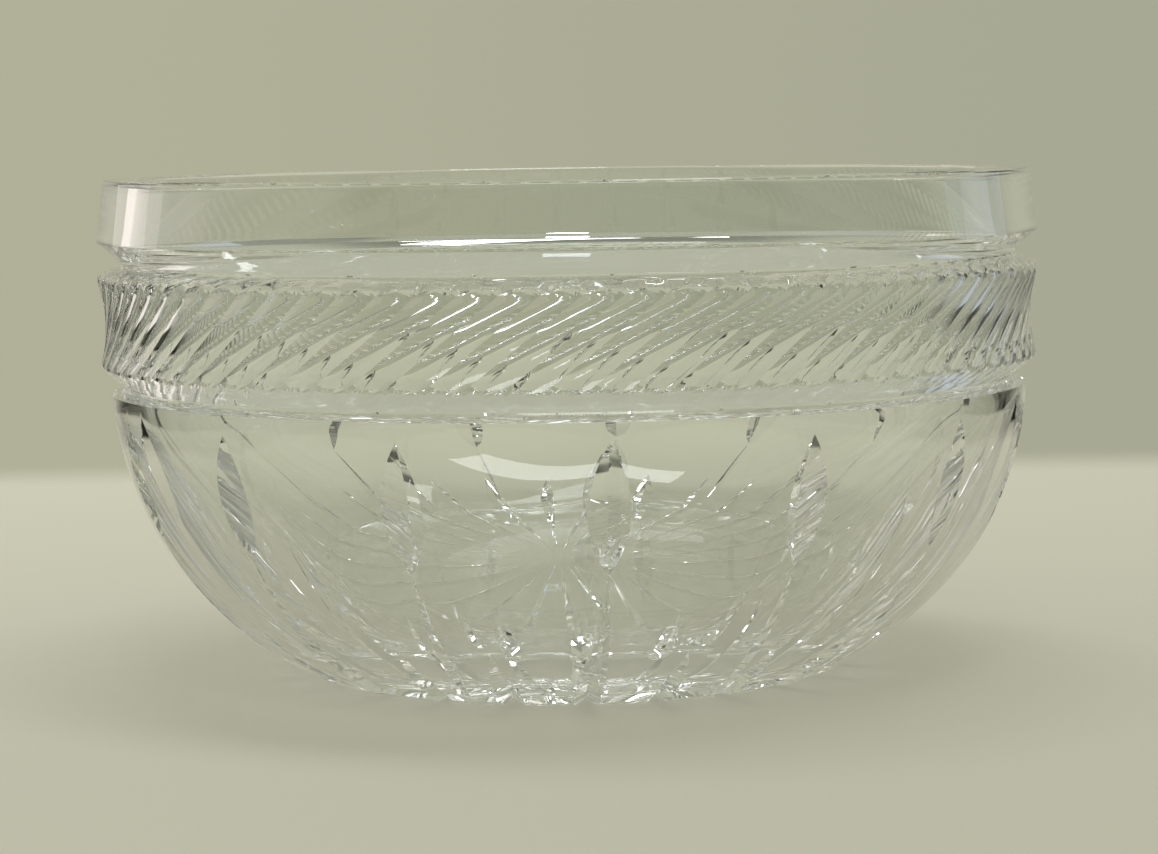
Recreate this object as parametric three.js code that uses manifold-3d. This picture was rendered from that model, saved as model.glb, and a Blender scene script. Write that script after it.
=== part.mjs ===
// A round cut-crystal bowl: one thick piece of clear lead glass, turned, hollowed and then cut.
// Millimetres, +Z up. The origin is the middle of the underside, and the front is towards -Y.

import * as THREE from 'three';
import Module from 'manifold-3d';

const wasm = await Module();
wasm.setup();

// Turned outline: heights, from the table upwards
const footHeight = 2.0; // small chamfer that lifts the body off the table
const bodyHeight = 59.5; // rounded body, up to its shoulder
const grooveHeight = 1.7; // shoulder to the lowest line of the groove
const bevelHeight = 3.2; // groove to the lower corner of the fluted band
const bandHeight = 21.6; // fluted band, corner to corner
const neckHeight = 1.3; // band to the lowest line of the neck
const coveHeight = 4.6; // neck to the lower edge of the rim
const rimHeight = 13.3; // plain rim
const lipRound = 1.0; // rounded edges of the lip

// Turned outline: radii
const footRadius = 57.2; // flat that the bowl stands on
const footChamfer = 3.8; // width of the chamfer round it
const bodyRadius = 99.2; // at the shoulder
const grooveDepth = 2.9; // below the shoulder
const bandStandOut = 2.7; // the band, before it is fluted, stands out of the shoulder by this much
const bandLowCorner = 1.4; // softened corners of the band
const bandTopCorner = 2.8;
const neckDepth = 5.1; // below the band
const rimStandOut = 2.4; // the rim's lower edge stands out of the shoulder by this much
const rimTaper = 1.5; // the rim leans in by this much at the lip

// Turned outline: fullness of the body's curve
const footFlare = 1.3; // the curve leaves the foot level for about this long
const bodyFullness = 0.32; // share of the body's height below which it swells most

// Hollow
const rimWall = 7.4; // width of the lip
const bandWall = 7.0; // from the band's outside in to the hollow's widest line, behind the cove
const bodyWall = 5.5; // wall behind the shoulder
const floorThickness = 12.0; // glass under the middle of the hollow
const floorRadius = 48.0; // flat part of the floor
const floorRun = 0.2; // share of the hollow's radius over which its curve leaves the floor
const hollowFullness = 0.5; // share of the body's height below which the hollow widens most

// Panels round the body, with arched tops
const panelCount = 15;
const panelDepth = 1.0;
const panelArchRise = 3.8;
const panelRunOut = 0.24; // share of a panel's length in which its cut rises to the surface
const panelShoulderGap = 0.7; // plain glass between an arch and the shoulder
const ribTurn = THREE.MathUtils.degToRad(4.5); // the rib nearest to the front

// Slanting flutes round the band
const fluteCount = 80;
const fluteDepth = 2.1; // in the middle of a flute
const fluteHollow = 0.35; // from a ridge down to the bottom of its flute
const fluteTwist = THREE.MathUtils.degToRad(16.5); // how far a flute leans round the bowl
const fluteOverrun = 1.9; // the flutes run down over the bevel by this much
const fluteTopGap = 0.6; // plain glass between a flute and the top of the band

// Mitre cuts down each rib: grooves of a V section. Their ends are shares of the body's height.
const mitreHalfAngle = THREE.MathUtils.degToRad(50);
const mitreLift = 1.2; // the cutter reaches this far out of the glass
const lensTopShare = 0.934;
const lensLowShare = 0.491;
const lensDepth = 3.9;
const sliverLowShare = 0.012;
const sliverDepth = 1.1;

// Star under the foot, whose rays break over the foot's edge
const rayCount = 24;
const rayTurn = THREE.MathUtils.degToRad(2.7); // the ray nearest to the front
const rayStart = 5.0; // radius at which a ray begins
const rayDepth = 1.4; // just inside the foot, where the ray turns up
const rayCutterRise = 4; // height of the cutter where it turns, in ray depths
const notchDepth = 2.1; // below the foot's outer edge
const notchTopShare = 0.2185; // share of the body's height that a ray reaches

// Facets
const bodyFacetsPerPanel = 6;
const facetsPerFlute = 3;
const rimFacets = 96;
const hollowFacets = 60;
const panelSteps = 6;
const runOutSteps = [0.35, 0.7, 1];
const fluteSteps = [-1, -0.7, -0.35, 0, 0.35, 0.7, 1];
const hollowSteps = 8;
const lensSteps = 6;
const sliverSteps = 5;
const halvings = 30; // of the search for a place on a curve

// Radii and heights of the turned outline
const bandRadius = bodyRadius + bandStandOut;
const neckRadius = bandRadius - neckDepth;
const rimRadius = bodyRadius + rimStandOut;
const lipRadius = rimRadius - rimTaper;
const shoulderZ = footHeight + bodyHeight;
const grooveZ = shoulderZ + grooveHeight;
const bandLowZ = grooveZ + bevelHeight;
const bandTopZ = bandLowZ + bandHeight;
const neckZ = bandTopZ + neckHeight;
const rimLowZ = neckZ + coveHeight;
const topZ = rimLowZ + rimHeight;

// Height of a share of the body's height
function bodyZ(share) {
  return footHeight + bodyHeight * share;
}

// The body's outline is one curve that leaves the foot flat and reaches the shoulder upright
const footEdge = new THREE.Vector2(footRadius + footChamfer, footHeight);
const shoulder = new THREE.Vector2(bodyRadius, shoulderZ);
const bodyCurve = new THREE.CubicBezierCurve(
  footEdge,
  new THREE.Vector2(footEdge.x + footFlare, footEdge.y),
  new THREE.Vector2(bodyRadius, bodyZ(bodyFullness)),
  shoulder,
);

// The hollow's outline, from the edge of the floor to the level of the shoulder
const hollowRadius = bodyRadius - bodyWall;
const hollowCurve = new THREE.CubicBezierCurve(
  new THREE.Vector2(floorRadius, floorThickness),
  new THREE.Vector2(floorRadius + hollowRadius * floorRun, floorThickness),
  new THREE.Vector2(hollowRadius, floorThickness + bodyHeight * hollowFullness),
  new THREE.Vector2(hollowRadius, shoulderZ),
);

// The band before it is fluted, from the groove up to the neck
const bandOutline = [
  new THREE.Vector2(bodyRadius - grooveDepth, grooveZ),
  new THREE.Vector2(bandRadius - bandLowCorner, bandLowZ),
  new THREE.Vector2(bandRadius, bandLowZ + bandLowCorner),
  new THREE.Vector2(bandRadius, bandTopZ - bandTopCorner),
  new THREE.Vector2(bandRadius - bandTopCorner / 4, bandTopZ - bandTopCorner / 2),
  new THREE.Vector2(bandRadius - bandTopCorner, bandTopZ),
  new THREE.Vector2(neckRadius, neckZ),
];

// Radius of an outline at a height
function radiusAt(outline, z) {
  let upper = 1;
  while (upper < outline.length - 1 && outline[upper].y < z) upper += 1;
  const low = outline[upper - 1];
  const high = outline[upper];
  const share = (z - low.y) / (high.y - low.y);
  return low.x + (high.x - low.x) * share;
}

// Place on the body's curve at a height, found by halving
function bodyShareAt(z) {
  let low = 0;
  let high = 1;
  for (let i = 0; i < halvings; i++) {
    const middle = (low + high) / 2;
    if (bodyCurve.getPoint(middle).y < z) low = middle;
    else high = middle;
  }
  return (low + high) / 2;
}

// A point of the body's outline and the direction that faces out of the glass there
function bodyPoint(share) {
  const point = bodyCurve.getPoint(share);
  const along = bodyCurve.getTangent(share);
  return { point, outward: new THREE.Vector2(along.y, -along.x) };
}

// A point given by its angle from the front, its radius and its height
function polar(angle, radius, z) {
  return new THREE.Vector3(radius * Math.sin(angle), -radius * Math.cos(angle), z);
}

// The glass is a stack of rings, from the middle of the underside over the lip to the hollow's floor
const rings = [];

function addRing(count, place) {
  const points = [];
  for (let i = 0; i < count; i++) {
    const { angle, radius, z } = place(i);
    points.push({ angle, position: polar(angle, radius, z) });
  }
  rings.push(points);
}

function addPlainRing(count, radius, z, start = ribTurn) {
  addRing(count, (i) => ({ angle: start + (2 * Math.PI * i) / count, radius, z }));
}

const bodyFacets = panelCount * bodyFacetsPerPanel;
addPlainRing(bodyFacets, footRadius, 0);

// Panels: each ring follows the arches, and sinks between the ribs
const panelRings = [];
for (let i = 0; i <= panelSteps; i++) panelRings.push((1 - panelRunOut) * (i / panelSteps));
for (const step of runOutSteps) panelRings.push(1 - panelRunOut * (1 - step));
for (const step of panelRings) {
  addRing(bodyFacets, (i) => {
    const across = (i % bodyFacetsPerPanel) / bodyFacetsPerPanel - 0.5;
    const fromRib = 1 - 4 * across * across;
    const archZ = shoulderZ - panelShoulderGap - panelArchRise * (1 - fromRib);
    const { point, outward } = bodyPoint(step * bodyShareAt(archZ));
    const rise = Math.max(0, (step - 1 + panelRunOut) / panelRunOut);
    const sink = panelDepth * fromRib * (1 - rise * rise) * (point.x / bodyRadius);
    return {
      angle: ribTurn + (2 * Math.PI * i) / bodyFacets,
      radius: point.x - outward.x * sink,
      z: point.y - outward.y * sink,
    };
  });
}
addPlainRing(bodyFacets, shoulder.x, shoulder.y);
addPlainRing(bodyFacets, bandOutline[0].x, bandOutline[0].y);

// Flutes: each ring is turned with the slant, and ends on the arch that a flute leaves in the band
const fluteLowZ = bandLowZ - fluteOverrun;
const fluteTopZ = bandTopZ - fluteTopGap;
const fluteMiddleZ = (fluteLowZ + fluteTopZ) / 2;
const fluteReach = (fluteTopZ - fluteLowZ) / 2;
const fluteFacets = fluteCount * facetsPerFlute;
for (const step of fluteSteps) {
  addRing(fluteFacets, (i) => {
    const across = (i % facetsPerFlute) / facetsPerFlute - 0.5;
    const ridge = fluteHollow * 4 * across * across;
    const along = step * Math.sqrt(1 - ridge / fluteDepth);
    const z = fluteMiddleZ + fluteReach * along;
    const sink = fluteDepth * (1 - along * along) - ridge;
    return {
      angle: (2 * Math.PI * i) / fluteFacets + (fluteTwist * along) / 2,
      radius: radiusAt(bandOutline, z) - sink,
      z,
    };
  });
}

// Neck, cove, rim and lip
for (const point of bandOutline.slice(-2)) addPlainRing(rimFacets, point.x, point.y, 0);
addPlainRing(rimFacets, rimRadius, rimLowZ, 0);
addPlainRing(rimFacets, lipRadius, topZ - lipRound, 0);
addPlainRing(rimFacets, lipRadius - lipRound, topZ, 0);

// Hollow
const rimHollowRadius = lipRadius - rimWall;
addPlainRing(hollowFacets, rimHollowRadius + lipRound, topZ);
addPlainRing(hollowFacets, rimHollowRadius, topZ - lipRound);
addPlainRing(hollowFacets, bandRadius - bandWall, neckZ + coveHeight / 2);
for (let i = 0; i <= hollowSteps; i++) {
  const point = hollowCurve.getPoint(1 - i / hollowSteps);
  addPlainRing(hollowFacets, point.x, point.y);
}

// Joins two rings with triangles: side by side where they match, or by angle where they differ
function joinRings(lower, upper, triangles) {
  const straight = lower.length === upper.length;
  const turn = (ring, i) => ring[i % ring.length].angle + 2 * Math.PI * Math.floor(i / ring.length);
  let offset = 0;
  while (!straight && turn(upper, offset) < turn(lower, 0)) offset += 1;
  let i = 0;
  let j = 0;
  while (i < lower.length || j < upper.length) {
    const a = lower[i % lower.length].index;
    const b = upper[(j + offset) % upper.length].index;
    const stepLower = straight
      ? i <= j
      : i < lower.length && (j >= upper.length || turn(lower, i + 1) < turn(upper, j + offset + 1));
    if (stepLower) {
      i += 1;
      triangles.push(a, lower[i % lower.length].index, b);
    } else {
      j += 1;
      triangles.push(a, upper[(j + offset) % upper.length].index, b);
    }
  }
}

// The turned, fluted and panelled glass as one closed solid
function ringSolid() {
  const positions = [];
  const triangles = [];
  for (const ring of rings) {
    for (const point of ring) {
      point.index = positions.length / 3;
      positions.push(...point.position.toArray());
    }
  }
  for (let i = 1; i < rings.length; i++) joinRings(rings[i - 1], rings[i], triangles);
  const first = rings[0];
  const last = rings[rings.length - 1];
  const under = positions.length / 3;
  positions.push(0, 0, 0, 0, 0, floorThickness);
  for (let i = 0; i < first.length; i++) {
    triangles.push(under, first[(i + 1) % first.length].index, first[i].index);
  }
  for (let i = 0; i < last.length; i++) {
    triangles.push(under + 1, last[i].index, last[(i + 1) % last.length].index);
  }
  return solidFrom(positions, triangles);
}

function solidFrom(positions, triangles) {
  const vertProperties = new Float32Array(positions);
  const triVerts = new Uint32Array(triangles);
  return new wasm.Manifold(new wasm.Mesh({ numProp: 3, vertProperties, triVerts }));
}

// A cutter of V section through a row of stations: each is the cut's deepest point, the direction
// that faces out of the glass there, and how far the cutter reaches that way
function mitreCutter(angle, stations) {
  const side = new THREE.Vector3(Math.cos(angle), Math.sin(angle), 0);
  const positions = [];
  const triangles = [];
  for (const { deepest, outward, reach } of stations) {
    const tip = polar(angle, deepest.x, deepest.y);
    const top = tip.clone().addScaledVector(polar(angle, outward.x, outward.y), reach);
    const halfWidth = Math.tan(mitreHalfAngle) * reach;
    positions.push(...tip.toArray());
    positions.push(...top.clone().addScaledVector(side, halfWidth).toArray());
    positions.push(...top.clone().addScaledVector(side, -halfWidth).toArray());
  }
  const last = 3 * (stations.length - 1);
  for (let i = 0; i < last; i += 3) {
    for (let k = 0; k < 3; k++) {
      const next = (k + 1) % 3;
      triangles.push(i + k, i + 3 + next, i + next, i + k, i + 3 + k, i + 3 + next);
    }
  }
  triangles.push(0, 1, 2, last, last + 2, last + 1);
  return solidFrom(positions, triangles);
}

// A cut down the body between two heights, deepest halfway
function bodyCut(topHeight, lowHeight, depth, steps) {
  const start = bodyShareAt(lowHeight);
  const end = bodyShareAt(topHeight);
  const stations = [];
  for (let i = 0; i <= steps; i++) {
    const along = (2 * i) / steps - 1;
    const { point, outward } = bodyPoint(start + ((end - start) * (along + 1)) / 2);
    const sink = depth * (1 - along * along);
    const deepest = point.addScaledVector(outward, -sink);
    stations.push({ deepest, outward, reach: sink + mitreLift });
  }
  return stations;
}

const lensCut = bodyCut(bodyZ(lensTopShare), bodyZ(lensLowShare), lensDepth, lensSteps);
const sliverCut = bodyCut(bodyZ(lensLowShare), bodyZ(sliverLowShare), sliverDepth, sliverSteps);

// A ray deepens outwards under the foot, turns up inside the foot's edge and climbs out of the body
const rayTip = bodyPoint(bodyShareAt(bodyZ(notchTopShare))).point;
const toEdge = footEdge.clone().sub(rayTip);
const notchSlope = toEdge.angle() - Math.asin(notchDepth / toEdge.length());
const notchLine = new THREE.Vector2(Math.cos(notchSlope), Math.sin(notchSlope));
const rayTurnPoint = rayTip.clone().addScaledVector(notchLine, (rayDepth - rayTip.y) / notchLine.y);
const down = new THREE.Vector2(0, -1);
const notchOutward = new THREE.Vector2(-notchLine.y, notchLine.x);
const turnOutward = down.clone().add(notchOutward).normalize();
const rayCut = [
  { deepest: new THREE.Vector2(rayStart, 0), outward: down, reach: mitreLift },
  { deepest: rayTurnPoint, outward: turnOutward, reach: rayCutterRise * rayDepth },
  { deepest: rayTip, outward: notchOutward, reach: mitreLift },
];

const cutters = [];
for (let i = 0; i < panelCount; i++) {
  const angle = ribTurn + (2 * Math.PI * i) / panelCount;
  cutters.push(mitreCutter(angle, lensCut), mitreCutter(angle, sliverCut));
}
for (let i = 0; i < rayCount; i++) {
  const angle = rayTurn + (2 * Math.PI * i) / rayCount;
  cutters.push(mitreCutter(angle, rayCut));
}

let glass = ringSolid();
for (const cutter of cutters) glass = glass.subtract(cutter);

const cut = glass.getMesh();
const geometry = new THREE.BufferGeometry();
geometry.setAttribute('position', new THREE.BufferAttribute(cut.vertProperties, 3));
geometry.setIndex(new THREE.BufferAttribute(cut.triVerts, 1));
geometry.computeVertexNormals();

const leadCrystal = new THREE.MeshStandardMaterial({
  color: '#e6ebe6',
  roughness: 0.04,
  metalness: 0,
  transparent: true,
  opacity: 0.45,
  flatShading: true,
});

const bowl = new THREE.Mesh(geometry, leadCrystal);
bowl.name = 'bowl';

const group = new THREE.Group();
group.add(bowl);
export default group;
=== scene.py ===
"""A round cut-crystal bowl, dressed for its close-up: one thick piece of clear lead glass.

The glass is turned as a blank, its panels and flutes are ground into the blank's surface, and the
mitre cuts are then taken out with V-shaped wheels, as a cutter's workshop does. Metres, +Z up.
"""

from math import atan2, cos, pi, radians, sin, sqrt, tan

import bmesh
import bpy
from mathutils import Matrix, Vector


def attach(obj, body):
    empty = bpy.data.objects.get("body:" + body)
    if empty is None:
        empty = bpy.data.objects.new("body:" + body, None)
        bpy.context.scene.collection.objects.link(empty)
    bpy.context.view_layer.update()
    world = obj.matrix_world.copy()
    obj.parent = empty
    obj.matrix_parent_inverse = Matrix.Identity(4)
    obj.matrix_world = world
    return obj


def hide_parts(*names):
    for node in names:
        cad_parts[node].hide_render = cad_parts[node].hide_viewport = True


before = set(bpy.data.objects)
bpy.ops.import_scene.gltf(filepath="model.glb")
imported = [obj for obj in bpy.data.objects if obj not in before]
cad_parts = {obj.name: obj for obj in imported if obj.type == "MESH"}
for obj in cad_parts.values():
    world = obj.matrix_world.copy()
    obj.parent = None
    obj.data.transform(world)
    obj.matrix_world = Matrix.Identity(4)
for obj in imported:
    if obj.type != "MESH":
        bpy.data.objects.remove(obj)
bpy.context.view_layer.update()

MM = 0.001

# Turned outline: heights of its parts, from the table upwards
FOOT_HEIGHT = 2.0 * MM
BODY_HEIGHT = 59.5 * MM
GROOVE_HEIGHT = 1.7 * MM
BEVEL_HEIGHT = 3.2 * MM
BAND_HEIGHT = 21.6 * MM
NECK_HEIGHT = 1.3 * MM
COVE_HEIGHT = 4.6 * MM
RIM_HEIGHT = 13.3 * MM

# Turned outline: radii
FOOT_RADIUS = 57.2 * MM
FOOT_CHAMFER = 3.8 * MM
BODY_RADIUS = 99.2 * MM
GROOVE_DEPTH = 2.9 * MM
BAND_RADIUS = 101.9 * MM
BAND_LOW_CORNER = 1.4 * MM
BAND_TOP_CORNER = 2.8 * MM
NECK_DEPTH = 5.1 * MM
RIM_RADIUS = 101.6 * MM
RIM_TAPER = 1.5 * MM
LIP_ROUND = 1.0 * MM

# Turned outline: fullness of its curves, as lengths, or as shares of the parts that they round off
FOOT_FLARE = 1.3 * MM
CHAMFER_OUT = 0.6
CHAMFER_UP = 0.45
BODY_FULLNESS = 0.32
GROOVE_FULLNESS = 0.4
CORNER_IN = 0.2
CORNER_UP = 0.3
NECK_FULLNESS = 0.5
COVE_IN = 0.5 * MM
COVE_UP = 0.3 * MM

# Hollow
RIM_WALL = 7.4 * MM
BAND_WALL = 7.0 * MM
BODY_WALL = 5.5 * MM
FLOOR_THICKNESS = 12.0 * MM
FLOOR_RADIUS = 48.0 * MM
FLOOR_RUN = 0.2
HOLLOW_FULLNESS = 0.5

# Panels, flutes and mitre cuts
PANEL_COUNT = 15
PANEL_DEPTH = 1.0 * MM
PANEL_ARCH_RISE = 3.8 * MM
PANEL_RUN_OUT = 0.24
PANEL_SHOULDER_GAP = 0.7 * MM
RIB_TURN = radians(4.5)
FLUTE_COUNT = 80
FLUTE_DEPTH = 2.1 * MM
FLUTE_HOLLOW = 0.35 * MM
FLUTE_TWIST = radians(16.5)
FLUTE_OVERRUN = 1.9 * MM
FLUTE_TOP_GAP = 0.6 * MM
MITRE_HALF_ANGLE = radians(50)
MITRE_LIFT = 1.2 * MM
LENS_TOP = 57.6 * MM
LENS_LENGTH = 26.4 * MM
LENS_DEPTH = 3.9 * MM
SLIVER_LENGTH = 28.5 * MM
SLIVER_DEPTH = 1.1 * MM
RAY_COUNT = 24
RAY_TURN = radians(2.7)
RAY_START = 5.0 * MM
RAY_DEPTH = 1.4 * MM
RAY_CUTTER_RISE = 4
NOTCH_DEPTH = 2.1 * MM
NOTCH_TOP = 15.0 * MM

# Columns of the turned surface: enough for whole numbers of them per panel, flute and ray
COLUMNS = 480

# Plain rings that keep the two flat discs' triangles short, as shares of the discs' radii
FOOT_RING = 0.5
FLOOR_RING = 0.4

# Rows of each part of the turned surface
PANEL_ROWS = 34
RUN_OUT_ROWS = 10
GROOVE_ROWS = 5
LOW_CORNER_ROWS = 4
TOP_CORNER_ROWS = 6
FLUTE_ROWS = 32
NECK_ROWS = 4
COVE_ROWS = 6
RIM_ROWS = 8
LIP_ROWS = 5
MOUTH_ROWS = 6
WIDEST_ROWS = 4
WALL_ROWS = 8
HOLLOW_ROWS = 26

# Steps from station to station of a lens-shaped or a long thin cut
CUT_STEPS = 24

# Facets that meet at more than this angle keep a crisp edge between them
SHARP_ANGLE = radians(8)

# The step that finds a curve's direction, and how often a search on it is halved
CURVE_STEP = 0.001
HALVINGS = 30

# The line that is spun starts well out from the middle, and what meets there is merged
SPIN_START = 50 * MM
MERGE_REACH = 0.01 * MM

# The cloth: half its side, how square its corners are, where its edge fades out, and how much
# narrower it is for the glass than for the camera
CLOTH_REACH = 0.5
CLOTH_SQUARENESS = 5
CLOTH_EDGE = (0.36, 0.44)
CLOTH_NARROWING = 1.6

# Glass rests on the tips of the threads, so a film of air lies between the foot and the cloth
AIR_FILM = 0.1 * MM

# Painted light that the cloth gives out as a glow of its own, in place of the room's light:
# painted shade that changes along X and Y, and its strength in a painted pool of light under the
# foot and beyond
PAINTED_LIGHT_SLOPE = (-0.16, 0.24, 0)
PAINTED_POOL_REACH = (0.03, 0.08)
PAINTED_POOL_UNDER_FOOT = 0.42
PAINTED_LIGHT_BEYOND = 0.34

# How far to the left and to the right the walls' two colours turn into each other, and the wall
# that the camera sees
WALL_TURN = 0.18
WALL = ("#b1b099", "#a8a994")

# What the glass picks up of the studio besides, each part over the ones before it: its colour at
# the left and at the right, whether only reflections show it, and where it comes in, from nothing
# to all of it, along an axis of the direction that the glass looks in
STUDIO_PARTS = (
    # The paler walls beside the bowl, and the wall above it
    ("#bebbaa", "#b5b6a2", False, [("aside", 0.2, 0.25)]),
    ("#b7b8a6", "#b7b8a6", False, [("up", 0.15, 0.4)]),
    # The ends of the room
    ("#bdbcb0", "#8a8b80", True, [("aside", 0.6, 0.8)]),
    # The dark room behind the camera, up to the high window, and the grey ceiling
    ("#24241e", "#24241e", True, [("away", -0.45, -0.65), ("up", 0.5, 0.3)]),
    ("#8c8c80", "#8c8c80", False, [("up", 0.75, 0.95)]),
    # The dark below the table, which ends where the cloth fades into the far wall
    ("#191914", "#191914", False, [("away", 0.96, 0.86), ("up", 0.02, -0.08)]),
)

# The photograph's view: millimetres for the lens, degrees for the angles
CAMERA_PLACE = (0.0020, -0.6980, 0.1168)
CAMERA_TILT = 5.35
CAMERA_LEAN = 0.863
CAMERA_SENSOR = 36
CAMERA_LENS = 99.33

# Light runs round inside the thick, cut wall many times before it comes out
LIGHT_BOUNCES = 32

SHOULDER_Z = FOOT_HEIGHT + BODY_HEIGHT
GROOVE_Z = SHOULDER_Z + GROOVE_HEIGHT
BAND_LOW_Z = GROOVE_Z + BEVEL_HEIGHT
BAND_TOP_Z = BAND_LOW_Z + BAND_HEIGHT
NECK_Z = BAND_TOP_Z + NECK_HEIGHT
RIM_LOW_Z = NECK_Z + COVE_HEIGHT
TOP_Z = RIM_LOW_Z + RIM_HEIGHT
FLUTE_LOW_Z = BAND_LOW_Z - FLUTE_OVERRUN
FLUTE_TOP_Z = BAND_TOP_Z - FLUTE_TOP_GAP
FLUTE_MIDDLE_Z = (FLUTE_LOW_Z + FLUTE_TOP_Z) / 2
FLUTE_REACH = (FLUTE_TOP_Z - FLUTE_LOW_Z) / 2
LIP_RADIUS = RIM_RADIUS - RIM_TAPER
INNER_LIP_RADIUS = LIP_RADIUS - RIM_WALL
HOLLOW_RADIUS = BODY_RADIUS - BODY_WALL

# Curves in the plane of radius and height
FOOT_EDGE = Vector((FOOT_RADIUS + FOOT_CHAMFER, FOOT_HEIGHT))
BODY_CURVE = (
    FOOT_EDGE,
    FOOT_EDGE + Vector((FOOT_FLARE, 0)),
    Vector((BODY_RADIUS, FOOT_HEIGHT + BODY_HEIGHT * BODY_FULLNESS)),
    Vector((BODY_RADIUS, SHOULDER_Z)),
)
HOLLOW_CURVE = (
    Vector((FLOOR_RADIUS, FLOOR_THICKNESS)),
    Vector((FLOOR_RADIUS + HOLLOW_RADIUS * FLOOR_RUN, FLOOR_THICKNESS)),
    Vector((HOLLOW_RADIUS, FLOOR_THICKNESS + BODY_HEIGHT * HOLLOW_FULLNESS)),
    Vector((HOLLOW_RADIUS, SHOULDER_Z)),
)


def bezier(points, share):
    """Point of a cubic Bezier curve in the plane of radius and height."""
    a, b, c, d = points
    rest = 1 - share
    near = (rest ** 3) * a + 3 * rest * rest * share * b
    return near + 3 * rest * share * share * c + (share ** 3) * d


def arc(start, corner, end, steps):
    """Points of a rounded corner between two points, without the first."""
    made = []
    for i in range(1, steps + 1):
        share = i / steps
        rest = 1 - share
        made.append(rest * rest * start + 2 * rest * share * corner + share * share * end)
    return made


def band_outline():
    """The band before it is fluted, from the groove's floor to the neck's."""
    groove = Vector((BODY_RADIUS - GROOVE_DEPTH, GROOVE_Z))
    low = Vector((BAND_RADIUS - BAND_LOW_CORNER, BAND_LOW_Z))
    low_corner = Vector((
        BAND_RADIUS - CORNER_IN * BAND_LOW_CORNER, BAND_LOW_Z + CORNER_UP * BAND_LOW_CORNER,
    ))
    side = Vector((BAND_RADIUS, BAND_LOW_Z + BAND_LOW_CORNER))
    side_top = Vector((BAND_RADIUS, BAND_TOP_Z - BAND_TOP_CORNER))
    top_corner = Vector((BAND_RADIUS, BAND_TOP_Z - CORNER_UP * BAND_TOP_CORNER))
    top = Vector((BAND_RADIUS - BAND_TOP_CORNER, BAND_TOP_Z))
    neck = Vector((BAND_RADIUS - NECK_DEPTH, NECK_Z))
    outline = [groove, low]
    outline += arc(low, low_corner, side, LOW_CORNER_ROWS)
    outline.append(side_top)
    outline += arc(side_top, top_corner, top, TOP_CORNER_ROWS)
    outline.append(neck)
    return outline


BAND_OUTLINE = band_outline()


def radius_at(outline, z):
    """Radius of an outline at a height."""
    upper = 1
    while upper < len(outline) - 1 and outline[upper].y < z:
        upper += 1
    low, high = outline[upper - 1], outline[upper]
    return low.x + (high.x - low.x) * (z - low.y) / (high.y - low.y)


def body_share_at(z):
    """Place on the body's curve at a height, found by halving."""
    low, high = 0.0, 1.0
    for _ in range(HALVINGS):
        middle = (low + high) / 2
        if bezier(BODY_CURVE, middle).y < z:
            low = middle
        else:
            high = middle
    return (low + high) / 2


def body_point(share):
    """A point of the body's outline and the direction that faces out of the glass there."""
    along = bezier(BODY_CURVE, share + CURVE_STEP) - bezier(BODY_CURVE, share - CURVE_STEP)
    along.normalize()
    return bezier(BODY_CURVE, share), Vector((along.y, -along.x))


def polar(angle, radius, z):
    """A point given by its angle from the front, its radius and its height."""
    return Vector((radius * sin(angle), -radius * cos(angle), z))


def plain_row(radius, z, turn=0.0):
    """A row of the turned surface that is the same all round. Like every row, it is a function
    from a column's number to how far the column is turned, its radius and its height."""
    return lambda column: (turn, radius, z)


ARCH_SHARES = {}


def arch_share(across):
    """Place on the body's curve at which a panel's arch lies, across the panel."""
    if across not in ARCH_SHARES:
        arch_z = SHOULDER_Z - PANEL_SHOULDER_GAP - PANEL_ARCH_RISE * 4 * across * across
        ARCH_SHARES[across] = body_share_at(arch_z)
    return ARCH_SHARES[across]


def panel_row(step):
    """A row through all panels, at a share of the way up to their arches. A panel is hollowed
    from rib to rib, and rises to the blank's surface under its arch."""
    columns = COLUMNS // PANEL_COUNT

    def place(column):
        across = (column % columns) / columns - 0.5
        point, outward = body_point(step * arch_share(across))
        rise = max(0.0, (step - 1 + PANEL_RUN_OUT) / PANEL_RUN_OUT)
        sink = PANEL_DEPTH * (1 - 4 * across * across) * (1 - rise * rise) * point.x / BODY_RADIUS
        point = point - outward * sink
        return 0.0, point.x, point.y

    return place


def flute_row(step):
    """A row through all flutes, from -1 at their lower ends to 1 at their tops. A flute is
    hollowed from ridge to ridge, and the ridges run out before the hollows do."""
    columns = COLUMNS // FLUTE_COUNT

    def place(column):
        across = (column % columns) / columns - 0.5
        ridge = FLUTE_HOLLOW * 4 * across * across
        along = step * sqrt(1 - ridge / FLUTE_DEPTH)
        z = FLUTE_MIDDLE_Z + FLUTE_REACH * along
        sink = FLUTE_DEPTH * (1 - along * along) - ridge
        return FLUTE_TWIST * (along + 1) / 2, radius_at(BAND_OUTLINE, z) - sink, z

    return place


def foot_rows():
    """The flat underside and the chamfer round it, from the middle outwards."""
    return [
        plain_row(0, 0),
        plain_row(FOOT_RADIUS * FOOT_RING, 0),
        plain_row(FOOT_RADIUS, 0),
        plain_row(FOOT_RADIUS + FOOT_CHAMFER * CHAMFER_OUT, FOOT_HEIGHT * CHAMFER_UP),
    ]


def body_rows():
    """The panels, from the foot to their arches, and closer rows where they run out."""
    steps = [i / PANEL_ROWS * (1 - PANEL_RUN_OUT) for i in range(PANEL_ROWS)]
    steps += [1 - PANEL_RUN_OUT * (1 - i / RUN_OUT_ROWS) for i in range(RUN_OUT_ROWS + 1)]
    return [panel_row(step) for step in steps]


def groove_rows():
    """The shoulder and the groove above it."""
    shoulder = Vector((BODY_RADIUS, SHOULDER_Z))
    groove = BAND_OUTLINE[0]
    corner = Vector((groove.x, shoulder.y + GROOVE_HEIGHT * GROOVE_FULLNESS))
    outline = [shoulder] + arc(shoulder, corner, groove, GROOVE_ROWS)
    return [plain_row(point.x, point.y) for point in outline]


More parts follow.
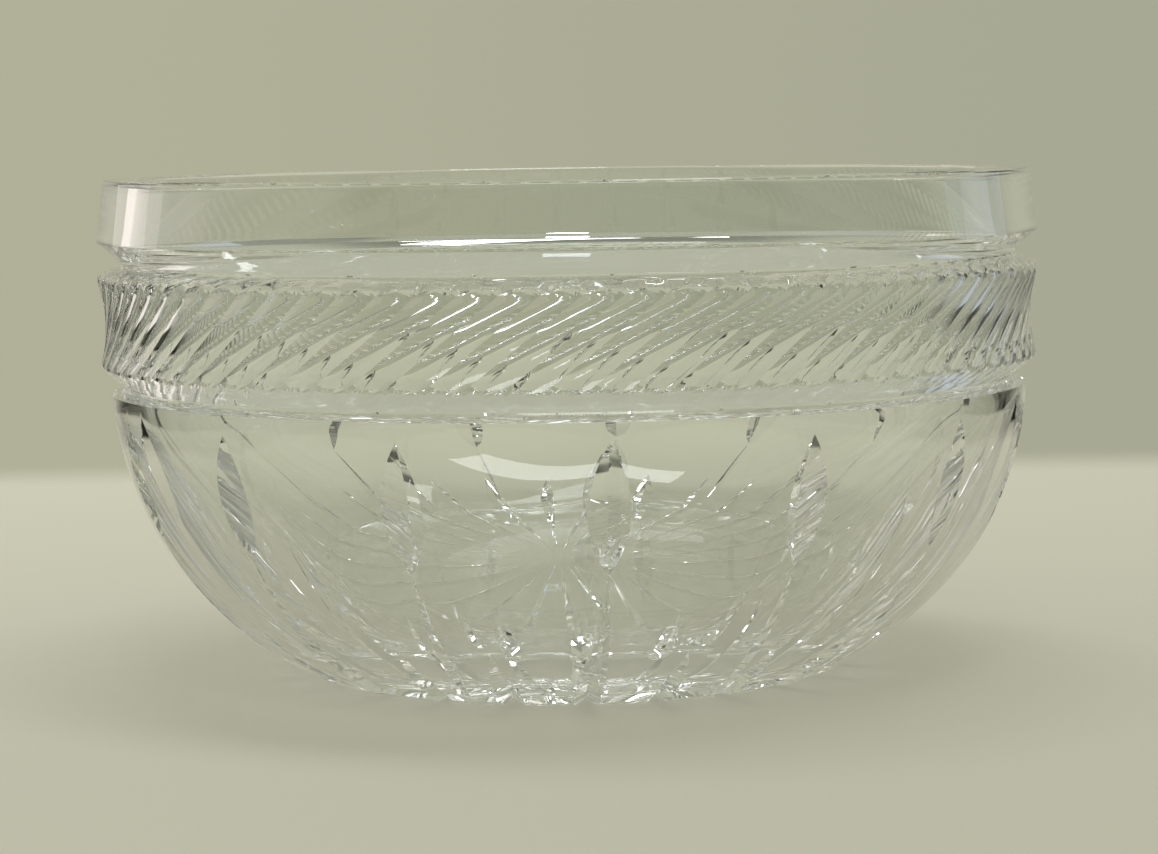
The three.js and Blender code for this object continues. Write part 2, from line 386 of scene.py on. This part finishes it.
def band_rows():
    """The flutes, with closer rows towards their ends."""
    return [flute_row(sin(pi * (i / FLUTE_ROWS - 0.5))) for i in range(FLUTE_ROWS + 1)]


def rim_outline():
    """The top of the band, the neck, the cove, the plain rim and the outer half of the lip."""
    top = BAND_OUTLINE[-2]
    neck = BAND_OUTLINE[-1]
    rim_low = Vector((RIM_RADIUS, RIM_LOW_Z))
    cove_corner = neck.lerp(rim_low, 0.5) + Vector((-COVE_IN, COVE_UP))
    lip_low = Vector((LIP_RADIUS, TOP_Z - LIP_ROUND))
    lip_top = Vector((LIP_RADIUS - LIP_ROUND, TOP_Z))
    outline = [top]
    outline += arc(top, Vector((neck.x, neck.y - NECK_HEIGHT * NECK_FULLNESS)), neck, NECK_ROWS)
    outline += arc(neck, cove_corner, rim_low, COVE_ROWS)
    outline += [rim_low.lerp(lip_low, i / RIM_ROWS) for i in range(1, RIM_ROWS + 1)]
    outline += arc(lip_low, Vector((LIP_RADIUS, TOP_Z)), lip_top, LIP_ROWS)
    return outline


def hollow_outline():
    """The inner half of the lip, the wall behind rim, band and body, and the floor."""
    lip_top = Vector((INNER_LIP_RADIUS + LIP_ROUND, TOP_Z))
    lip_low = Vector((INNER_LIP_RADIUS, TOP_Z - LIP_ROUND))
    widest = Vector((BAND_RADIUS - BAND_WALL, NECK_Z + COVE_HEIGHT / 2))
    shoulder = HOLLOW_CURVE[3]
    over = lip_low.lerp(widest, (MOUTH_ROWS - 1) / MOUTH_ROWS)
    under = widest.lerp(shoulder, 1 / WALL_ROWS)
    outline = [lip_top]
    outline += arc(lip_top, Vector((INNER_LIP_RADIUS, TOP_Z)), lip_low, LIP_ROWS)
    outline += [lip_low.lerp(widest, i / MOUTH_ROWS) for i in range(1, MOUTH_ROWS)]
    outline += arc(over, widest, under, WIDEST_ROWS)
    outline += [widest.lerp(shoulder, i / WALL_ROWS) for i in range(2, WALL_ROWS)]
    outline += [bezier(HOLLOW_CURVE, 1 - i / HOLLOW_ROWS) for i in range(HOLLOW_ROWS + 1)]
    outline.append(Vector((FLOOR_RADIUS * FLOOR_RING, FLOOR_THICKNESS)))
    outline.append(Vector((0, FLOOR_THICKNESS)))
    return outline


def turned_rows():
    """The rows of the glass, from the middle of the underside over the lip to the middle of the
    hollow's floor."""
    rows = foot_rows() + body_rows() + groove_rows() + band_rows()
    for point in rim_outline() + hollow_outline():
        rows.append(plain_row(point.x, point.y, FLUTE_TWIST))
    return rows


def turned_glass():
    """Spins a line of one vertex per row, then grinds every row to its shape."""
    rows = turned_rows()
    mesh = bmesh.new()
    row_layer = mesh.verts.layers.int.new("row")
    line = []
    for number, row in enumerate(rows):
        turn, radius, z = row(0)
        pole = number in (0, len(rows) - 1)
        # Every row starts at a height of its own, so that the spin leaves them apart
        start = polar(RIB_TURN, 0 if pole else SPIN_START + radius, number * MM)
        vertex = mesh.verts.new(start)
        vertex[row_layer] = number
        line.append(vertex)
    edges = [mesh.edges.new(pair) for pair in zip(line, line[1:])]
    bmesh.ops.spin(
        mesh, geom=line + edges, cent=(0, 0, 0), axis=(0, 0, 1), dvec=(0, 0, 0),
        angle=2 * pi, steps=COLUMNS, use_merge=True, use_normal_flip=False, use_duplicate=False,
    )
    bmesh.ops.remove_doubles(mesh, verts=mesh.verts, dist=MERGE_REACH)
    step = 2 * pi / COLUMNS
    for vertex in mesh.verts:
        angle = atan2(vertex.co.x, -vertex.co.y)
        column = round((angle - RIB_TURN) / step) % COLUMNS
        turn, radius, z = rows[vertex[row_layer]](column)
        vertex.co = polar(RIB_TURN + column * step + turn, radius, z)
    bmesh.ops.recalc_face_normals(mesh, faces=mesh.faces)
    return mesh


def mitre_cutter(mesh, angle, stations):
    """Adds a cutter of V section through its stations: each is the cut's deepest point, the
    direction that faces out of the glass there, and how far the cutter reaches that way."""
    side = Vector((cos(angle), sin(angle), 0))
    sections = []
    for deepest, outward, reach in stations:
        tip = polar(angle, deepest.x, deepest.y)
        top = tip + polar(angle, outward.x, outward.y) * reach
        half_width = side * tan(MITRE_HALF_ANGLE) * reach
        sections.append([mesh.verts.new(co) for co in (tip, top + half_width, top - half_width)])
    rings = []
    for section in sections:
        rings.append([mesh.edges.new((section[i], section[(i + 1) % 3])) for i in range(3)])
    for low, high in zip(rings, rings[1:]):
        bmesh.ops.bridge_loops(mesh, edges=low + high)
    mesh.faces.new(sections[0])
    mesh.faces.new(sections[-1])


def body_cut(top_z, low_z, depth):
    """Stations of a cut down the body between two heights, deepest halfway."""
    start, end = body_share_at(low_z), body_share_at(top_z)
    stations = []
    for i in range(CUT_STEPS + 1):
        along = 2 * i / CUT_STEPS - 1
        point, outward = body_point(start + (end - start) * (along + 1) / 2)
        sink = depth * (1 - along * along)
        stations.append((point - outward * sink, outward, sink + MITRE_LIFT))
    return stations


def ray_cut():
    """Stations of a ray: it deepens outwards under the foot, turns up and climbs out of the
    body."""
    tip, _ = body_point(body_share_at(NOTCH_TOP))
    to_edge = FOOT_EDGE - tip
    slope = atan2(to_edge.y, to_edge.x) - NOTCH_DEPTH / to_edge.length
    line = Vector((cos(slope), sin(slope)))
    turn_point = tip + line * ((RAY_DEPTH - tip.y) / line.y)
    down = Vector((0, -1))
    outward = Vector((-line.y, line.x))
    return [
        (Vector((RAY_START, 0)), down, MITRE_LIFT),
        (turn_point, (down + outward).normalized(), RAY_CUTTER_RISE * RAY_DEPTH),
        (tip, outward, MITRE_LIFT),
    ]


def new_object(name, mesh):
    """Puts a finished bmesh into the scene."""
    data = bpy.data.meshes.new(name)
    mesh.to_mesh(data)
    mesh.free()
    made = bpy.data.objects.new(name, data)
    bpy.context.scene.collection.objects.link(made)
    return made


def cutter_object(name, count, turn, stations):
    """All the cutters of one kind, spaced evenly round the bowl."""
    mesh = bmesh.new()
    for i in range(count):
        mitre_cutter(mesh, turn + 2 * pi * i / count, stations)
    bmesh.ops.recalc_face_normals(mesh, faces=mesh.faces)
    return new_object(name, mesh)


def subtract(piece, cutter):
    """Takes a cutter out of a piece, and throws the cutter away."""
    modifier = piece.modifiers.new("cut", "BOOLEAN")
    modifier.operation = "DIFFERENCE"
    modifier.solver = "MANIFOLD"
    modifier.object = cutter
    bpy.context.view_layer.update()
    evaluated = piece.evaluated_get(bpy.context.evaluated_depsgraph_get())
    data = bpy.data.meshes.new_from_object(evaluated)
    piece.modifiers.clear()
    piece.data = data
    bpy.data.objects.remove(cutter)


def crystal_bowl():
    """The ground blank, less the cuts down its ribs and the star under its foot."""
    bowl = new_object("crystal_bowl", turned_glass())
    lens_low = LENS_TOP - LENS_LENGTH
    lens = body_cut(LENS_TOP, lens_low, LENS_DEPTH)
    sliver = body_cut(lens_low, lens_low - SLIVER_LENGTH, SLIVER_DEPTH)
    subtract(bowl, cutter_object("lens_wheel", PANEL_COUNT, RIB_TURN, lens))
    subtract(bowl, cutter_object("sliver_wheel", PANEL_COUNT, RIB_TURN, sliver))
    subtract(bowl, cutter_object("ray_wheel", RAY_COUNT, RAY_TURN, ray_cut()))
    bowl.data.shade_smooth()
    bowl.data.set_sharp_from_angle(angle=SHARP_ANGLE)
    return bowl


def to_linear(text, alpha=1.0):
    """A colour written as sRGB hex, as the linear values that a shader takes."""
    values = [int(text[i:i + 2], 16) / 255 for i in (1, 3, 5)]
    return [v / 12.92 if v <= 0.04045 else ((v + 0.055) / 1.055) ** 2.4 for v in values] + [alpha]


def add_node(tree, kind, inputs=(), **settings):
    """Adds a shader node with its settings, and gives each named input a link or a value."""
    node = tree.nodes.new(kind)
    for name, value in settings.items():
        setattr(node, name, value)
    for name, source in dict(inputs).items():
        if isinstance(source, bpy.types.NodeSocket):
            tree.links.new(source, node.inputs[name])
        else:
            node.inputs[name].default_value = source
    return node


def empty_material(name):
    """A material whose nodes are all still to come, and its node tree."""
    material = bpy.data.materials.new(name)
    material.use_nodes = True
    material.node_tree.nodes.clear()
    return material, material.node_tree


def lead_crystal():
    """Lead crystal, hand-ground and acid-polished: bright, nearly colourless, with the faint
    unevenness that polishing leaves, in waves of about 11 mm, or 90 to the metre."""
    material, tree = empty_material("polished_lead_crystal")
    place = add_node(tree, "ShaderNodeTexCoord").outputs["Object"]
    waves = add_node(tree, "ShaderNodeTexNoise", {"Vector": place, "Scale": 90.0, "Detail": 1.0})
    bump = add_node(tree, "ShaderNodeBump", {
        "Height": waves.outputs["Fac"], "Strength": 0.15, "Distance": 0.02 * MM,
    })
    glass = add_node(tree, "ShaderNodeBsdfPrincipled", {
        "Normal": bump.outputs["Normal"],
        "Base Color": to_linear("#f9fbf8"),
        "Roughness": 0.0,
        "IOR": 1.545,
        "Transmission Weight": 1.0,
    })
    add_node(tree, "ShaderNodeOutputMaterial", {"Surface": glass.outputs["BSDF"]})
    return material


def cloth_edge(tree, place):
    """How far the cloth has faded out, from 0 on it to 1 beyond its edge: a rounded square, where
    equal powers of the two sides add up."""
    along = add_node(tree, "ShaderNodeSeparateXYZ", {0: place}).outputs
    ray = add_node(tree, "ShaderNodeLightPath")
    # The cloth that lies beside the bowl is narrower than the one the camera sees
    narrow = add_node(tree, "ShaderNodeMapRange", {
        "Value": ray.outputs["Is Camera Ray"], "To Min": CLOTH_NARROWING, "To Max": 1.0,
    })
    wide = add_node(tree, "ShaderNodeMath", {
        0: along["X"], 1: narrow.outputs["Result"],
    }, operation="MULTIPLY")
    powers = []
    for side in (wide.outputs[0], along["Y"]):
        size = add_node(tree, "ShaderNodeMath", {0: side}, operation="ABSOLUTE")
        power = add_node(tree, "ShaderNodeMath", {
            0: size.outputs[0], 1: CLOTH_SQUARENESS,
        }, operation="POWER")
        powers.append(power.outputs[0])
    total = add_node(tree, "ShaderNodeMath", {0: powers[0], 1: powers[1]}, operation="ADD")
    reach = add_node(tree, "ShaderNodeMath", {
        0: total.outputs[0], 1: 1 / CLOTH_SQUARENESS,
    }, operation="POWER")
    edge = add_node(tree, "ShaderNodeMapRange", {
        "Value": reach.outputs[0], "From Min": CLOTH_EDGE[0], "From Max": CLOTH_EDGE[1],
    }, interpolation_type="SMOOTHSTEP")
    return edge.outputs["Result"]


def painted_cloth_light(tree, place):
    """Painted light that the cloth gives out in place of the room's light: painted shade, a little
    less of it towards the front right, and a painted pool of light under the foot, where the glass
    gathers light."""
    # Painted shade: less painted light towards the front right
    slope = add_node(
        tree, "ShaderNodeVectorMath", {0: place, 1: PAINTED_LIGHT_SLOPE}, operation="DOT_PRODUCT",
    )
    # Painted pool of light under the foot, fading out with distance from the middle
    away = add_node(tree, "ShaderNodeVectorMath", {0: place}, operation="LENGTH")
    painted_pool = add_node(tree, "ShaderNodeMapRange", {
        "Value": away.outputs["Value"],
        "From Min": PAINTED_POOL_REACH[0],
        "From Max": PAINTED_POOL_REACH[1],
        "To Min": PAINTED_POOL_UNDER_FOOT,
        "To Max": PAINTED_LIGHT_BEYOND,
    }, interpolation_type="SMOOTHSTEP")
    painted_light = add_node(tree, "ShaderNodeMath", {
        0: slope.outputs["Value"], 1: painted_pool.outputs["Result"],
    }, operation="ADD")
    return painted_light.outputs[0]


def backdrop_cloth():
    """Cream cotton cloth under the bowl, which glows with painted light in place of the room's
    light. Its far edge melts into the colour of the wall.
    """
    material, tree = empty_material("backdrop_cloth")
    place = add_node(tree, "ShaderNodeTexCoord").outputs["Object"]
    cloth = add_node(tree, "ShaderNodeBsdfPrincipled", {
        "Base Color": to_linear("#bab8a7"),
        "Roughness": 0.9,
        # Painted light: the cloth glows though it is no lamp, with painted shade towards the front
        # right and a painted pool of light under the foot
        "Emission Color": to_linear("#cccaba"),
        "Emission Strength": painted_cloth_light(tree, place),
    })
    clear = add_node(tree, "ShaderNodeBsdfTransparent")
    mix = add_node(tree, "ShaderNodeMixShader", {
        0: cloth_edge(tree, place), 1: cloth.outputs["BSDF"], 2: clear.outputs["BSDF"],
    })
    add_node(tree, "ShaderNodeOutputMaterial", {"Surface": mix.outputs[0]})
    return material


def floor():
    """The cloth that the bowl stands on."""
    mesh = bmesh.new()
    bmesh.ops.create_grid(mesh, x_segments=1, y_segments=1, size=CLOTH_REACH)
    bmesh.ops.translate(mesh, verts=mesh.verts, vec=(0, 0, -AIR_FILM))
    made = new_object("floor", mesh)
    made.data.materials.append(backdrop_cloth())
    return made


def soft_box(name, place, target, width, height, power, colour):
    """A rectangular lamp that faces its target, and that the camera doesn't see."""
    data = bpy.data.lights.new(name, "AREA")
    data.shape = "RECTANGLE"
    data.size, data.size_y = width, height
    data.energy = power
    data.color = to_linear(colour)[:3]
    lamp = bpy.data.objects.new(name, data)
    bpy.context.scene.collection.objects.link(lamp)
    lamp.location = place
    lamp.rotation_euler = (Vector(target) - Vector(place)).to_track_quat("-Z", "Y").to_euler()
    lamp.visible_camera = False
    return lamp


def room():
    """The studio around the bowl. The camera sees only its plain wall. The glass also picks up the
    paler walls beside it, the dark room behind the camera and below the table, and the grey
    ceiling."""
    world = bpy.data.worlds.new("studio")
    bpy.context.scene.world = world
    world.use_nodes = True
    tree = world.node_tree
    tree.nodes.clear()
    place = add_node(tree, "ShaderNodeTexCoord").outputs["Generated"]
    ray = add_node(tree, "ShaderNodeLightPath").outputs
    way = add_node(tree, "ShaderNodeSeparateXYZ", {0: place}).outputs
    aside = add_node(tree, "ShaderNodeMath", {0: way["X"]}, operation="ABSOLUTE")
    axes = {"aside": aside.outputs[0], "away": way["Y"], "up": way["Z"]}
    across = add_node(tree, "ShaderNodeMapRange", {
        "Value": way["X"], "From Min": -WALL_TURN, "From Max": WALL_TURN,
    }, interpolation_type="SMOOTHSTEP").outputs["Result"]

    # A Mix node takes its share on input 0 and two colours on 6 and 7, and gives one on output 2
    def from_left_to_right(left, right):
        colours = {0: across, 6: to_linear(left), 7: to_linear(right)}
        return add_node(tree, "ShaderNodeMix", colours, data_type="RGBA").outputs[2]

    wall = from_left_to_right(*WALL)
    around = wall
    for left, right, reflected, limits in STUDIO_PARTS:
        shares = []
        for axis, nothing, all_of_it in limits:
            share = add_node(tree, "ShaderNodeMapRange", {
                "Value": axes[axis], "From Min": nothing, "From Max": all_of_it,
            }, interpolation_type="SMOOTHSTEP")
            shares.append(share.outputs["Result"])
        if reflected:
            shares.append(ray["Is Glossy Ray"])
        total = shares[0]
        for share in shares[1:]:
            product = add_node(tree, "ShaderNodeMath", {0: total, 1: share}, operation="MULTIPLY")
            total = product.outputs[0]
        around = add_node(tree, "ShaderNodeMix", {
            0: total, 6: around, 7: from_left_to_right(left, right),
        }, data_type="RGBA").outputs[2]
    seen = add_node(tree, "ShaderNodeMix", {
        0: ray["Is Camera Ray"], 6: around, 7: wall,
    }, data_type="RGBA")
    light = add_node(tree, "ShaderNodeBackground", {"Color": seen.outputs[2], "Strength": 1.0})
    add_node(tree, "ShaderNodeOutputWorld", {"Surface": light.outputs["Background"]})


def studio():
    """The room, a long lamp under its ceiling, a high window behind the camera, and a window on
    each side that shows in an end of the rim."""
    room()
    soft_box(
        "ceiling_bar", (0.1, 0.18, 1.9), (0, 0, 0),
        width=1.4, height=0.42, power=9.5, colour="#f6f8fc",
    )
    soft_box(
        "high_window", (0.0, -1.10, 1.63), (0, 0, 0),
        width=0.3, height=0.16, power=1.3, colour="#e8f0ff",
    )
    soft_box(
        "left_window", (-1.06, 0.81, 0.5), (-0.09, -0.05, 0.5),
        width=0.48, height=0.9, power=0.78, colour="#fff0f2",
    )
    soft_box(
        "right_window", (1.20, 0.60, 0.5), (0.09, -0.05, 0.5),
        width=0.48, height=0.9, power=0.55, colour="#cfe0ff",
    )


def camera():
    """The photograph's view: just above the rim, tilted down a little and leaning a little."""
    data = bpy.data.cameras.new("camera")
    data.sensor_width = CAMERA_SENSOR
    data.lens = CAMERA_LENS
    made = bpy.data.objects.new("camera", data)
    bpy.context.scene.collection.objects.link(made)
    tilt = Matrix.Rotation(radians(90 - CAMERA_TILT), 4, "X")
    lean = Matrix.Rotation(radians(-CAMERA_LEAN), 4, "Z")
    made.matrix_world = Matrix.Translation(CAMERA_PLACE) @ (tilt @ lean)
    bpy.context.scene.camera = made


camera()
studio()
floor()
bowl = crystal_bowl()
bowl.data.materials.clear()
bowl.data.materials.append(lead_crystal())
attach(bowl, "root")
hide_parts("bowl")

scene = bpy.context.scene
scene.view_settings.view_transform = "Standard"
scene.cycles.max_bounces = LIGHT_BOUNCES
scene.cycles.transmission_bounces = LIGHT_BOUNCES
scene.cycles.glossy_bounces = LIGHT_BOUNCES
bpy.context.view_layer.update()
